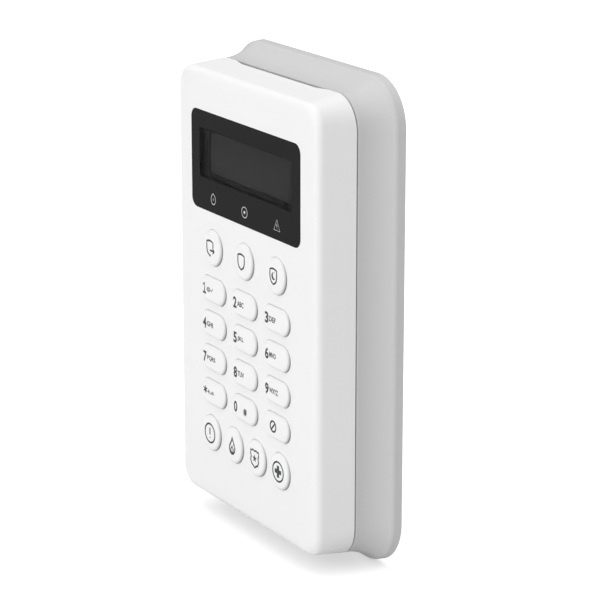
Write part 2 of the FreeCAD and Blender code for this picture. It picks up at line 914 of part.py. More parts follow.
def base_ring():
    # Straight sides are extruded and corners are turned, all from the same section
    section = Part.Face(base_profile())
    half_x = cover_width / 2 - cover_corner
    half_z = cover_height / 2 - cover_corner
    pieces = []
    for turn in (0, 90, 180, 270):
        upright = turn % 180 == 0
        half_run = half_z if upright else half_x
        half_across = half_x if upright else half_z
        side = section.copy()
        side.translate(Vector(half_across + cover_corner, 0, -half_run))
        run = side.extrude(Vector(0, 0, 2 * half_run))
        corner = section.copy()
        corner.translate(Vector(half_across + cover_corner, 0, half_run))
        corner = corner.revolve(Vector(half_across, 0, half_run), Vector(0, 1, 0), -90)
        for piece in (run, corner):
            piece.rotate(Vector(0, 0, 0), Vector(0, 1, 0), turn)
            pieces.append(piece)
    return pieces[0].fuse(pieces[1:])


def hinge_ear(x):
    # A rounded ear round the pin, on a foot that grows out of the base's bottom wall
    ear = cross_rod(ear_radius, ear_width, x, hinge_y, hinge_z)
    foot_z = (hinge_z - ear_radius, hinge_z + ear_radius)
    foot = block(
        x - ear_width / 2, x + ear_width / 2, hinge_y, base_front_y + 2 * base_wall, *foot_z
    )
    return ear.fuse(foot)


def make_wall_base():
    reach = 2 * (cover_wall + tongue_clearance + tongue_wall)
    floor = plate(
        cover_width - reach, cover_height - reach, cover_corner - reach / 2, -base_floor, 0
    )
    body = base_ring().fuse(floor)
    holes = [(x, z) for x in (-wall_hole_x, wall_hole_x) for z in (-wall_hole_z, wall_hole_z)]
    for x, z in holes:
        body = body.fuse(rod(2 * wall_hole_radius, -base_floor - wall_hole_pad, -base_floor, x, z))
    post_front = -base_floor - tamper_post_height
    body = body.fuse(rod(tamper_post_radius, post_front, -base_floor / 2, tamper_x, tamper_z))

    cuts = []
    for x in hinge_sides():
        # Opens the tongue where an ear stands
        half = ear_width / 2 + ear_clearance + hinge_pin_length / 2 - ear_width / 2 + 1.5
        high = hinge_z + cover_wall + tongue_wall + 3
        cuts.append(
            block(x - half, x + half, base_front_y - tongue_reach - 1, base_front_y, -cover_height, high)
        )
    body = body.cut(cuts)
    body = body.fuse([hinge_ear(x) for x in hinge_sides()])

    cuts = [rod(wall_hole_radius, -base_floor - wall_hole_pad - 1, 1, x, z) for x, z in holes]
    for side in (-1, 1):
        z = side * gang_slot_spacing / 2
        width = 2 * gang_slot_radius
        cuts.append(
            plate(width, gang_slot_length, gang_slot_radius, -base_floor - 1, 1, 0, z)
        )
    cuts.append(plate(cable_width, cable_height, cable_corner, -base_floor - 1, 1, 0, cable_z))
    for x in hinge_sides():
        cuts.append(cross_rod(hinge_pin_radius + pin_clearance, ear_width + 1, x, hinge_y, hinge_z))
    save(body.cut(cuts), "wall_base")


make_wall_base()
make_front_cover()
make_hinge_pins()
make_display()
make_status_lights()
for one_key in key_list():
    make_key(one_key)
make_keymat()
make_main_board()
make_resistors()
make_terminal_block()
make_board_parts()
make_antenna()
make_rear_chassis()
make_cells()
make_battery_contacts()
make_screws()
make_tamper()
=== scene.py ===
import math
import bpy
from mathutils import Matrix, Vector


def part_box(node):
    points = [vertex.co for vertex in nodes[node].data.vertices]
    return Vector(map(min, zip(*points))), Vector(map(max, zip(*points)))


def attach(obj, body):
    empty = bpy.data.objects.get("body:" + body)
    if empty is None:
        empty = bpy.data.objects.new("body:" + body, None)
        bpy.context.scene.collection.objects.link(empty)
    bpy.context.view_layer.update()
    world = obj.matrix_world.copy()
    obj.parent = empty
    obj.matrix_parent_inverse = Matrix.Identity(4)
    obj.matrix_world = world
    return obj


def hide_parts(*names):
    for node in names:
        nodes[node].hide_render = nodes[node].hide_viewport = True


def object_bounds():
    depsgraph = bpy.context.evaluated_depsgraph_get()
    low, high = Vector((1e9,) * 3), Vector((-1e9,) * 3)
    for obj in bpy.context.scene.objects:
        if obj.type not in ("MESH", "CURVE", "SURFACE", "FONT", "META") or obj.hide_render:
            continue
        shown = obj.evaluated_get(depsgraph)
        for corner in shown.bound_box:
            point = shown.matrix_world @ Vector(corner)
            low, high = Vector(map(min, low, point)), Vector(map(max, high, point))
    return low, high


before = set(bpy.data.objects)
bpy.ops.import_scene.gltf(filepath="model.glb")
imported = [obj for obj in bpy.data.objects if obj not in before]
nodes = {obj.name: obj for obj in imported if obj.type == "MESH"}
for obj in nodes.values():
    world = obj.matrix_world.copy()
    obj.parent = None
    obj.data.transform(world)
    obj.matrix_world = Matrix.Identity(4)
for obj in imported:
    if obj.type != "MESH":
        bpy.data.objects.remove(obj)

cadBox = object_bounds()
mm = 0.001
print("frame loaded")

# camera, light and floor

view = {
    "place": (803.7, -493.6, 266.9),  # mm, from the middle of the wall plate's back
    "azimuth": 58.944,  # degrees round from the front
    "down": 15.903,  # degrees below level
    "lens": 152.1,
}
studio = {
    "domeStrength": 1.8,  # straight overhead
    "domeFall": 1.5,  # power by which it fades towards the horizon
    "backdrop": 1.1,  # how bright the far distance looks
    "frontPlace": (0.95, -4.2, 0.2),
    "frontSize": 1.6,
    "frontPower": 106.0,
    "floorColor": "#E2E2E2",
    "floorShown": 0.48,  # a glow that only the camera sees
    "floorGap": 0.6,  # mm under the lowest point
}


def makeCamera():
    data = bpy.data.cameras.new("camera")
    data.lens = view["lens"]
    data.sensor_width = 36
    data.clip_start = 0.01
    camera = bpy.data.objects.new("camera", data)
    bpy.context.scene.collection.objects.link(camera)
    camera.location = Vector(view["place"]) * mm
    camera.rotation_euler = (math.radians(90 - view["down"]), 0, math.radians(view["azimuth"]))
    bpy.context.scene.camera = camera


def addLamp(name, place, size, power):
    lamp = bpy.data.lights.new(name, "AREA")
    lamp.shape = "SQUARE"
    lamp.size = size
    lamp.energy = power
    holder = bpy.data.objects.new(name, lamp)
    bpy.context.scene.collection.objects.link(holder)
    holder.location = place
    holder.rotation_euler = (-Vector(place)).to_track_quat("-Z", "Y").to_euler()


def linear(hexColor):
    channels = []
    for start in (1, 3, 5):
        value = int(hexColor[start:start + 2], 16) / 255
        channels.append(value / 12.92 if value <= 0.04045 else ((value + 0.055) / 1.055) ** 2.4)
    return (*channels, 1.0)


def perMm(size):
    return 1000 / size  # pattern scale for features this many mm across


def addNode(tree, kind, values=None, links=None, **settings):
    node = tree.nodes.new(kind)
    for name, setting in settings.items():
        setattr(node, name, setting)
    for socket, value in (values or {}).items():
        node.inputs[socket].default_value = value
    for socket, source in (links or {}).items():
        tree.links.new(source, node.inputs[socket])
    return node


def newMaterial(name, values):
    material = bpy.data.materials.new(name)
    material.use_nodes = True
    tree = material.node_tree
    shader = tree.nodes["Principled BSDF"]
    for socket, value in values.items():
        shader.inputs[socket].default_value = value
    place = addNode(tree, "ShaderNodeTexCoord")
    return material, tree, shader, place.outputs["Object"]


def deselectAll():
    bpy.ops.object.select_all(action="DESELECT")


makeCamera()
world = bpy.data.worlds.new("studio")
bpy.context.scene.world = world
world.use_nodes = True
sky = world.node_tree  # an overhead soft box that fades towards the horizon
skyPlace = addNode(sky, "ShaderNodeTexCoord")
skyParts = addNode(sky, "ShaderNodeSeparateXYZ", None, {"Vector": skyPlace.outputs["Generated"]})
upward = addNode(sky, "ShaderNodeMath", {1: 0.0}, {0: skyParts.outputs["Z"]}, operation="MAXIMUM")
fade = addNode(sky, "ShaderNodeMath", {1: studio["domeFall"]}, {0: upward.outputs["Value"]},
               operation="POWER")
dome = addNode(sky, "ShaderNodeMath", {1: studio["domeStrength"]}, {0: fade.outputs["Value"]},
               operation="MULTIPLY")
seen = addNode(sky, "ShaderNodeLightPath")  # the far distance itself looks plain white
strength = addNode(sky, "ShaderNodeMix", {3: studio["backdrop"]},
                   {0: seen.outputs["Is Camera Ray"], 2: dome.outputs["Value"]}, data_type="FLOAT")
sky.links.new(strength.outputs[0], sky.nodes["Background"].inputs["Strength"])
sky.nodes["Background"].inputs["Color"].default_value = (1, 1, 1, 1)
bpy.context.scene.view_settings.view_transform = "Standard"
addLamp("frontLamp", studio["frontPlace"], studio["frontSize"], studio["frontPower"])

deselectAll()
floorZ = cadBox[0].z - studio["floorGap"] * mm
bpy.ops.mesh.primitive_plane_add(size=30, location=(0, 0, floorZ))
floor = bpy.context.active_object
floor.name = "floor"
paper, tree, shader = newMaterial("studioPaper", {  # bright, even paper
    "Roughness": 0.9,
    "Specular IOR Level": 0.0,
    "Base Color": linear(studio["floorColor"]),
    "Emission Color": (1, 1, 1, 1),
})[:3]
looked = addNode(tree, "ShaderNodeLightPath")
glow = addNode(tree, "ShaderNodeMapRange", {"To Max": studio["floorShown"]},
               {"Value": looked.outputs["Is Camera Ray"]})
tree.links.new(glow.outputs["Result"], shader.inputs["Emission Strength"])
floor.data.materials.append(paper)
print("camera, light and floor made")

# finishes


def mouldedPlastic(name, finish):
    material, tree, shader, place = newMaterial(name, {
        "IOR": 1.5,
        "Specular IOR Level": finish.get("shine", 0.5),
    })
    flow = addNode(tree, "ShaderNodeTexNoise", {"Scale": perMm(finish["flow"]), "Detail": 2.0},
                   {"Vector": place})
    tone = addNode(tree, "ShaderNodeMix", {6: linear(finish["color"]), 7: linear(finish["shade"])},
                   {0: flow.outputs["Fac"]}, data_type="RGBA")
    tree.links.new(tone.outputs[2], shader.inputs["Base Color"])
    grain = addNode(tree, "ShaderNodeTexNoise", {"Scale": perMm(finish["grain"]), "Detail": 3.0},
                    {"Vector": place})
    gloss = addNode(tree, "ShaderNodeMapRange", {
        "To Min": finish["roughness"] - finish["spread"],
        "To Max": finish["roughness"] + finish["spread"],
    }, {"Value": grain.outputs["Fac"]})
    tree.links.new(gloss.outputs["Result"], shader.inputs["Roughness"])
    bump = addNode(tree, "ShaderNodeBump", {"Strength": finish["relief"], "Distance": finish["depth"] * mm},
                   {"Height": grain.outputs["Fac"]})
    tree.links.new(bump.outputs["Normal"], shader.inputs["Normal"])
    return material


def platedMetal(name, finish):
    material, tree, shader, place = newMaterial(name, {"Metallic": 1.0})
    stretch = addNode(tree, "ShaderNodeMapping", {"Scale": finish["stretch"]}, {"Vector": place})
    brush = addNode(tree, "ShaderNodeTexNoise", {"Scale": perMm(finish["grain"]), "Detail": 3.0},
                    {"Vector": stretch.outputs["Vector"]})
    tone = addNode(tree, "ShaderNodeMix", {6: linear(finish["color"]), 7: linear(finish["shade"])},
                   {0: brush.outputs["Fac"]}, data_type="RGBA")
    tree.links.new(tone.outputs[2], shader.inputs["Base Color"])
    gloss = addNode(tree, "ShaderNodeMapRange", {
        "To Min": finish["roughness"] - finish["spread"],
        "To Max": finish["roughness"] + finish["spread"],
    }, {"Value": brush.outputs["Fac"]})
    tree.links.new(gloss.outputs["Result"], shader.inputs["Roughness"])
    bump = addNode(tree, "ShaderNodeBump", {"Strength": 0.3, "Distance": finish["depth"] * mm},
                   {"Height": brush.outputs["Fac"]})
    tree.links.new(bump.outputs["Normal"], shader.inputs["Normal"])
    return material


# moulded ABS with a fine spark grain: satin, with a faint tooth close up
whiteAbs = mouldedPlastic("whiteAbs", {
    "color": "#EFEFEF", "shade": "#ECECED", "flow": 60.0, "grain": 0.35,
    "roughness": 0.46, "spread": 0.06, "relief": 0.25, "depth": 0.02,
})
greyAbs = mouldedPlastic("greyAbs", {  # the same grain in a greyer batch
    "color": "#C9C9C9", "shade": "#C5C5C6", "flow": 55.0, "grain": 0.35,
    "roughness": 0.5, "spread": 0.06, "relief": 0.25, "depth": 0.02,
})
keyPlastic = mouldedPlastic("lacqueredKeyPlastic", {  # smoother than the cover, so keys shine a little
    "color": "#F0F0F0", "shade": "#EDEDED", "flow": 12.0, "grain": 0.5,
    "roughness": 0.36, "spread": 0.04, "relief": 0.12, "depth": 0.01,
})
chassisAbs = mouldedPlastic("chassisAbs", {  # inner moulding, left duller than the outside
    "color": "#DADBDD", "shade": "#D2D4D7", "flow": 30.0, "grain": 0.6,
    "roughness": 0.55, "spread": 0.08, "relief": 0.3, "depth": 0.03,
})
blackAbs = mouldedPlastic("blackAbs", {  # dull black, with a grey bloom where it catches light
    "color": "#141415", "shade": "#1D1D1F", "flow": 8.0, "grain": 0.3,
    "roughness": 0.5, "spread": 0.1, "relief": 0.3, "depth": 0.02, "shine": 0.25,
})
terminalNylon = mouldedPlastic("terminalNylon", {  # glass-filled nylon: green and slightly waxy
    "color": "#2F7A4B", "shade": "#276B40", "flow": 6.0, "grain": 0.4,
    "roughness": 0.45, "spread": 0.08, "relief": 0.3, "depth": 0.02,
})
acetal = mouldedPlastic("acetalPlunger", {  # turned acetal: milky, smooth and slippery
    "color": "#F2EFE6", "shade": "#E8E4D9", "flow": 5.0, "grain": 0.5,
    "roughness": 0.3, "spread": 0.05, "relief": 0.15, "depth": 0.01,
})
siliconeMat = mouldedPlastic("siliconeRubber", {  # milky rubber with a dusty, matt skin
    "color": "#D5D9DB", "shade": "#C9CED1", "flow": 15.0, "grain": 0.8,
    "roughness": 0.68, "spread": 0.08, "relief": 0.3, "depth": 0.03,
})
carbonPill = mouldedPlastic("carbonRubber", {  # carbon-loaded rubber: soot black and matt
    "color": "#0E0E0F", "shade": "#1A1A1B", "flow": 2.0, "grain": 0.25,
    "roughness": 0.85, "spread": 0.08, "relief": 0.4, "depth": 0.03, "shine": 0.2,
})
lightPipe = mouldedPlastic("milkyAcrylic", {  # diffusing acrylic: bright and soft
    "color": "#F4F6F6", "shade": "#E7ECEE", "flow": 8.0, "grain": 0.6,
    "roughness": 0.28, "spread": 0.06, "relief": 0.15, "depth": 0.01,
})
ledResin = mouldedPlastic("ledResin", {  # phosphor resin: warm yellow and glassy
    "color": "#E8D79A", "shade": "#F2E9C8", "flow": 0.8, "grain": 0.3,
    "roughness": 0.22, "spread": 0.05, "relief": 0.2, "depth": 0.01,
})
chipEpoxy = mouldedPlastic("chipEpoxy", {  # moulded epoxy: charcoal with a fine sand texture
    "color": "#232426", "shade": "#2D2E31", "flow": 1.5, "grain": 0.15,
    "roughness": 0.6, "spread": 0.1, "relief": 0.4, "depth": 0.02, "shine": 0.3,
})
screenInk = mouldedPlastic("blackScreenInk", {  # screen print and rubber edge: even, deep black
    "color": "#1B1B1B", "shade": "#1F1F1F", "flow": 20.0, "grain": 0.4,
    "roughness": 0.6, "spread": 0.05, "relief": 0.1, "depth": 0.005, "shine": 0.1,
})
smokedLens = mouldedPlastic("smokedLens", {  # dark tinted acrylic: near black with its lamp off
    "color": "#1A1A1A", "shade": "#1E1E1E", "flow": 6.0, "grain": 0.4,
    "roughness": 0.4, "spread": 0.05, "relief": 0.1, "depth": 0.005, "shine": 0.1,
})
legendInk = mouldedPlastic("greyPadInk", {  # pad printing: dark grey, a little thin in places
    "color": "#3A3B3D", "shade": "#46474A", "flow": 0.9, "grain": 0.2,
    "roughness": 0.55, "spread": 0.06, "relief": 0.2, "depth": 0.005, "shine": 0.3,
})
markInk = mouldedPlastic("paleScreenInk", {  # pale grey print: light and even
    "color": "#D0D0D0", "shade": "#DADADA", "flow": 0.8, "grain": 0.2,
    "roughness": 0.5, "spread": 0.05, "relief": 0.1, "depth": 0.005, "shine": 0.1,
})
polariser = mouldedPlastic("polariserFilm", {  # switched-off display film: flat charcoal with a soft gloss
    "color": "#2C2C2C", "shade": "#2F2F2F", "flow": 25.0, "grain": 2.5,
    "roughness": 0.6, "spread": 0.01, "relief": 0.0, "depth": 0.001, "shine": 0.05,
})
tinPlate = platedMetal("tinPlate", {  # bright tin with a soft crystalline cast
    "color": "#C9C8C3", "shade": "#B4B3AE", "grain": 1.2, "stretch": (1, 1, 1),
    "roughness": 0.32, "spread": 0.08, "depth": 0.01,
})
nickelStrip = platedMetal("nickelPlatedSteel", {  # rolled strip: fine lines along its length
    "color": "#CFCBC2", "shade": "#B9B5AC", "grain": 0.3, "stretch": (1, 1, 0.08),
    "roughness": 0.28, "spread": 0.06, "depth": 0.01,
})
zincSteel = platedMetal("zincPlatedSteel", {  # zinc: slightly blue and cloudy
    "color": "#B9BDC2", "shade": "#A2A7AD", "grain": 0.5, "stretch": (1, 1, 1),
    "roughness": 0.36, "spread": 0.1, "depth": 0.01,
})
springSteel = platedMetal("stainlessSpringWire", {  # drawn wire: darker, with lines round the coil
    "color": "#A7A8A9", "shade": "#8E8F91", "grain": 0.2, "stretch": (1, 0.2, 1),
    "roughness": 0.3, "spread": 0.06, "depth": 0.005,
})


pane = {
    "clearMiddle": (0.0, 54.4),  # mm, of the part with no print, over the display
    "clearHalf": (34.4, 9.6),  # half its width and height
    "ink": "#262626",
    "inkShade": "#242424",
    "inkFlow": 30.0,
    "clearTint": "#F4F4F4",
    "bend": 1.09,  # well under real acrylic's, to reflect little
    "inkRoughness": 0.4,
}


def makeAcrylic():  # acrylic and its black print drawn as one, satin black, and clear over the display
    material, tree, shader, place = newMaterial("printedAcrylic", {"IOR": pane["bend"]})
    parts = addNode(tree, "ShaderNodeSeparateXYZ", None, {"Vector": place})
    inside = []
    for axis, middle, half in zip(("X", "Z"), pane["clearMiddle"], pane["clearHalf"]):
        away = addNode(tree, "ShaderNodeMath", {1: middle * mm}, {0: parts.outputs[axis]},
                       operation="SUBTRACT")
        inside.append(addNode(tree, "ShaderNodeMath", {1: 0.0, 2: half * mm}, {0: away.outputs["Value"]},
                              operation="COMPARE").outputs["Value"])
    clear = addNode(tree, "ShaderNodeMath", None, {0: inside[0], 1: inside[1]}, operation="MULTIPLY")
    waves = addNode(tree, "ShaderNodeTexNoise", {"Scale": perMm(pane["inkFlow"]), "Detail": 1.0},
                    {"Vector": place})
    ink = addNode(tree, "ShaderNodeMix", {6: linear(pane["ink"]), 7: linear(pane["inkShade"])},
                  {0: waves.outputs["Fac"]}, data_type="RGBA")
    tone = addNode(tree, "ShaderNodeMix", {7: linear(pane["clearTint"])},
                   {0: clear.outputs["Value"], 6: ink.outputs[2]}, data_type="RGBA")
    tree.links.new(tone.outputs[2], shader.inputs["Base Color"])
    tree.links.new(clear.outputs["Value"], shader.inputs["Transmission Weight"])
    gloss = addNode(tree, "ShaderNodeMapRange", {"To Min": pane["inkRoughness"], "To Max": 0.0},
                    {"Value": clear.outputs["Value"]})
    tree.links.new(gloss.outputs["Result"], shader.inputs["Roughness"])
    return material


def makeDisplayGlass():
    # liquid crystal glass, off: near black, with the faint cloudiness of its two sheets
    material, tree, shader, place = newMaterial("displayGlass", {"Specular IOR Level": 0.2})
    cloud = addNode(tree, "ShaderNodeTexNoise", {"Scale": perMm(9.0), "Detail": 2.0}, {"Vector": place})
    tone = addNode(tree, "ShaderNodeMix", {6: linear("#131415"), 7: linear("#191A1B")},
                   {0: cloud.outputs["Fac"]}, data_type="RGBA")
    tree.links.new(tone.outputs[2], shader.inputs["Base Color"])
    gloss = addNode(tree, "ShaderNodeMapRange", {"To Min": 0.22, "To Max": 0.3},
                    {"Value": cloud.outputs["Fac"]})
    tree.links.new(gloss.outputs["Result"], shader.inputs["Roughness"])
    return material


copper = {  # mm
    "trackWidth": 0.28,
    "trackRun": 7.3,
    "trackPitch": 1.27,
    "islands": 16.0,
    "ridge": 0.035,
}


def makeSolderMask():  # green lacquer over copper: tracks show as paler ridges
    material, tree, shader, place = newMaterial("solderMask", {"IOR": 1.5, "Specular IOR Level": 0.5})
    turn = addNode(tree, "ShaderNodeMapping", {"Rotation": (math.radians(90), 0, 0)}, {"Vector": place})
    tracks = addNode(tree, "ShaderNodeTexBrick", {
        "Color1": (0, 0, 0, 1), "Color2": (0.15, 0.15, 0.15, 1), "Mortar": (1, 1, 1, 1),
        "Scale": 1.0, "Mortar Size": copper["trackWidth"] * mm, "Mortar Smooth": 0.3,
        "Brick Width": copper["trackRun"] * mm, "Row Height": copper["trackPitch"] * mm,
    }, {"Vector": turn.outputs["Vector"]}, offset=0.37)
    islands = addNode(tree, "ShaderNodeTexNoise", {"Scale": perMm(copper["islands"]), "Detail": 1.0},
                      {"Vector": place})
    area = addNode(tree, "ShaderNodeMapRange", {"From Min": 0.48, "From Max": 0.52},
                   {"Value": islands.outputs["Fac"]})
    shown = addNode(tree, "ShaderNodeMath", None, {0: tracks.outputs["Color"], 1: area.outputs["Result"]},
                    operation="MULTIPLY")
    tone = addNode(tree, "ShaderNodeMix", {6: linear("#14532F"), 7: linear("#2C7A4A")},
                   {0: shown.outputs["Value"]}, data_type="RGBA")
    tree.links.new(tone.outputs[2], shader.inputs["Base Color"])
    gloss = addNode(tree, "ShaderNodeMapRange", {"To Min": 0.28, "To Max": 0.36},
                    {"Value": islands.outputs["Fac"]})
    tree.links.new(gloss.outputs["Result"], shader.inputs["Roughness"])
    bump = addNode(tree, "ShaderNodeBump", {"Strength": 0.5, "Distance": copper["ridge"] * mm},
                   {"Height": shown.outputs["Value"]})
    tree.links.new(bump.outputs["Normal"], shader.inputs["Normal"])
    return material


cellBand = (40.0, 40.2)  # mm above the wall plate's middle, where the film turns from dark to pale


def makeShrinkWrap():  # printed film on a cell: dark body with a pale band, taut and glossy
    material, tree, shader, place = newMaterial("shrinkWrap", {"Coat Weight": 0.4, "Coat Roughness": 0.1})
    parts = addNode(tree, "ShaderNodeSeparateXYZ", None, {"Vector": place})
    band = addNode(tree, "ShaderNodeMapRange", {
        "From Min": cellBand[0] * mm, "From Max": cellBand[1] * mm,
    }, {"Value": parts.outputs["Z"]})
    tone = addNode(tree, "ShaderNodeMix", {6: linear("#2B3440"), 7: linear("#8E979F")},
                   {0: band.outputs["Result"]}, data_type="RGBA")
    tree.links.new(tone.outputs[2], shader.inputs["Base Color"])
    film = addNode(tree, "ShaderNodeTexNoise", {"Scale": perMm(1.5), "Detail": 2.0}, {"Vector": place})
    gloss = addNode(tree, "ShaderNodeMapRange", {"To Min": 0.24, "To Max": 0.34},
                    {"Value": film.outputs["Fac"]})
    tree.links.new(gloss.outputs["Result"], shader.inputs["Roughness"])
    bump = addNode(tree, "ShaderNodeBump", {"Strength": 0.3, "Distance": 0.02 * mm},
                   {"Height": film.outputs["Fac"]})
    tree.links.new(bump.outputs["Normal"], shader.inputs["Normal"])
    return material


acrylic = makeAcrylic()
displayGlass = makeDisplayGlass()
solderMask = makeSolderMask()
shrinkWrap = makeShrinkWrap()

dressing = {
    "front_cover": whiteAbs, "wall_base": greyAbs, "rear_chassis": chassisAbs,
    "display_window": acrylic, "window_mask": screenInk, "lcd_glass": displayGlass, "lcd_frame": blackAbs,
    "lcd_connector_strips": carbonPill, "lcd_backlight": lightPipe, "status_light_guide": lightPipe,
    "status_leds": ledResin, "keymat": siliconeMat, "contact_pills": carbonPill,
    "main_board": solderMask, "radio_module": solderMask, "resistors": chipEpoxy, "processor": chipEpoxy,
    "radio_shield": tinPlate, "capacitors": tinPlate, "antenna": nickelStrip, "battery_plates": nickelStrip,
    "battery_leaf_springs": nickelStrip, "hinge_pins": zincSteel, "chassis_screws": zincSteel,
    "board_screws": zincSteel, "terminal_screws": zincSteel, "tamper_spring": springSteel,
    "tamper_plunger": acetal, "tamper_switch": blackAbs, "sounder": blackAbs,
    "terminal_block": terminalNylon,
}
for name, node in nodes.items():
    if name.startswith("key_"):
        finish = keyPlastic
    elif name.startswith("battery_cell"):
        finish = shrinkWrap
    else:
        finish = dressing[name]
    if not node.material_slots:
        node.data.materials.append(finish)
    for slot in node.material_slots:
        slot.material = finish
print("finishes given to", len(nodes), "parts")

# flat printed marks, drawn in mm across the front and then laid on a surface


def ring(x, z, radius, start=0, end=360, steps=48):
    closed = end - start == 360
    points = []
    for step in range(steps if closed else steps + 1):
        angle = math.radians(start + (end - start) * step / steps)
        points.append((x + radius * math.cos(angle), z + radius * math.sin(angle)))
    return points, closed


def mirrored(points):
    return points + [(-x, z) for x, z in reversed(points) if abs(x) > 1e-6]


stand = Matrix.Rotation(math.radians(90), 4, "X")  # turns what is made flat to face the front


def lay(piece, x, y, z, relief):
    # turns a flat drawing to face the front and sets it in place
    low = min(v.co.z for v in piece.data.vertices)
    high = max(v.co.z for v in piece.data.vertices)
    flatten = Matrix.Diagonal((mm, mm, relief * mm / (high - low), 1))
    drop = Matrix.Translation((0, 0, -low))
    piece.data.transform(Matrix.Translation((x * mm, y * mm, z * mm)) @ stand @ flatten @ drop)


def toMesh(piece):
    deselectAll()
    piece.select_set(True)
    bpy.context.view_layer.objects.active = piece
    bpy.ops.object.convert(target="MESH")
    return bpy.context.active_object


def drawCurve(shapes, width):
    # open or closed lines of this width, or filled shapes when the width is 0
    curve = bpy.data.curves.new("drawing", "CURVE")
    curve.dimensions = "2D" if width == 0 else "3D"
    if width:
        curve.bevel_depth = width / 2
        curve.bevel_resolution = 1
        curve.use_fill_caps = True
    else:
        curve.fill_mode = "BOTH"
        curve.extrude = 0.1
    for points, closed in shapes:
        spline = curve.splines.new("POLY")
        spline.points.add(len(points) - 1)
        for point, (x, z) in zip(spline.points, points):
            point.co = (x, z, 0, 1)
        spline.use_cyclic_u = closed
    piece = bpy.data.objects.new("drawing", curve)
    bpy.context.scene.collection.objects.link(piece)
    return toMesh(piece)


def drawText(words, x, z, width, height, weight):
    # centred on x and z, and stretched to this width and height
    deselectAll()
    bpy.ops.object.text_add()
    piece = bpy.context.active_object
    piece.data.body = words
    piece.data.offset = weight
    piece.data.extrude = 0.1
    piece.data.resolution_u = 5
    piece = toMesh(piece)
    xs = [v.co.x for v in piece.data.vertices]
    ys = [v.co.y for v in piece.data.vertices]
    sizeX = width / (max(xs) - min(xs))
    sizeY = height / (max(ys) - min(ys))
    centre = Matrix.Translation((-(max(xs) + min(xs)) / 2, -(max(ys) + min(ys)) / 2, 0))
    piece.data.transform(Matrix.Translation((x, z, 0)) @ Matrix.Diagonal((sizeX, sizeY, 1, 1)) @ centre)
    return piece


def joinPieces(pieces, name):
    deselectAll()
    for piece in pieces:
        piece.select_set(True)
    bpy.context.view_layer.objects.active = pieces[0]
    if len(pieces) > 1:
        bpy.ops.object.join()
    joined = bpy.context.active_object
    joined.name = name
    return joined


legend = {
    "relief": 0.02,  # ink thickness, mm
    "line": 0.74,  # line width, mm
    "digitLine": 0.82,
    "digitHeight": 4.4,
    "digitWidth": 2.6,
    "digitX": -5.7,  # from the key's middle
    "digitWeight": 0.036,
    "wordHeight": 2.1,
    "letterPitch": 1.6,
    "wordStart": -3.9,
    "wordWeight": 0.026,
    "ringRadius": 3.85,
    "starLine": 0.6,
    "signs": {"key_1": ("@-/", 2.0), "key_star": ("+-=", 1.7)},  # and their heights
    "zero": (2.5, 4.4, 0.03),  # width, height and weight
    "hash": (1.6, -0.5, 2.4, 2.9, 0.045),  # the same, after its place
    "words": {"key_2": ("2", "ABC"), "key_3": ("3", "DEF"), "key_4": ("4", "GHI"), "key_5": ("5", "JKL"),
              "key_6": ("6", "MNO"), "key_7": ("7", "PQRS"), "key_8": ("8", "TUV"), "key_9": ("9", "WXYZ")},
}

shieldSide = [(0, 2.95), (1.3, 2.75), (2.4, 2.4), (2.45, 1.0), (2.4, -0.4), (2.1, -1.5), (1.4, -2.4),
              (0, -3.1)]
flameSide = [(0.2, 3.7), (0.5, 2.4), (1.3, 1.3), (1.3, 0.4), (1.8, 0.9), (2.2, -0.6), (1.9, -2.2),
             (1.0, -3.2), (-0.2, -3.5), (-1.3, -3.0), (-2.0, -1.8), (-1.9, -0.5), (-1.1, 0.7), (-0.3, 2.0)]
flameHeart = [(0.1, -0.1), (0.9, -1.4), (0.8, -2.5), (0, -3.0), (-0.9, -2.5), (-0.9, -1.5)]
badgeSide = [(0, 2.9), (1.1, 3.4), (2.2, 2.8), (2.9, 3.3), (3.0, 1.6), (2.6, 0.4), (3.0, -1.0), (2.3, -2.4),
             (1.1, -3.0), (0, -3.7)]
plusShape = [(-0.85, 2.4), (0.85, 2.4), (0.85, 0.85), (2.4, 0.85), (2.4, -0.85), (0.85, -0.85),
             (0.85, -2.4), (-0.85, -2.4), (-0.85, -0.85), (-2.4, -0.85), (-2.4, 0.85), (-0.85, 0.85)]
oneShape = [([(-1.1, 1.15), (0.2, 2.0), (0.2, -1.8)], False), ([(-1.1, -1.85), (1.3, -1.85)], False)]
asteriskShape = [([(0, 1.5), (0, -1.5)], False), ([(-1.4, 0.8), (1.4, -0.8)], False),
                 ([(-1.4, -0.8), (1.4, 0.8)], False)]
clearShape = [ring(-1.2, 0, 2.05), ([(-2.5, -1.4), (0.1, 1.4)], False)]
arrowShape = [([(-0.9, -0.9), (2.3, -0.9)], False), ([(1.2, 0.2), (2.4, -0.9), (1.2, -2.0)], False)]
openShield = ([(2.4, 0.4)] + list(reversed(shieldSide[:4])) + [(-x, z) for x, z in shieldSide[1:]]
              + [(0.6, -2.8)])
alertShape = [([(0, 2.2), (0, -0.6)], False), ([(0, -1.6), (0, -2.0)], False)]


def star(radius, waist):
    points = []
    for tip in range(10):
        reach = radius if tip % 2 == 0 else radius * waist
        angle = math.radians(90 + 36 * tip)
        points.append((reach * math.cos(angle), reach * math.sin(angle)))
    return points


def moon(x, z, radius):
    outer = ring(x, z, radius, 60, 330, 24)[0]
    inner = ring(x + radius * 0.55, z + radius * 0.3, radius * 0.85, 300, 90, 20)[0]
    return outer + inner


def shifted(shapes, x, z):
    return [([(a + x, b + z) for a, b in points], closed) for points, closed in shapes]


def smallWord(word, height):
    width = legend["letterPitch"] * len(word)
    return drawText(word, legend["wordStart"] + width / 2, 0, width, height, legend["wordWeight"])


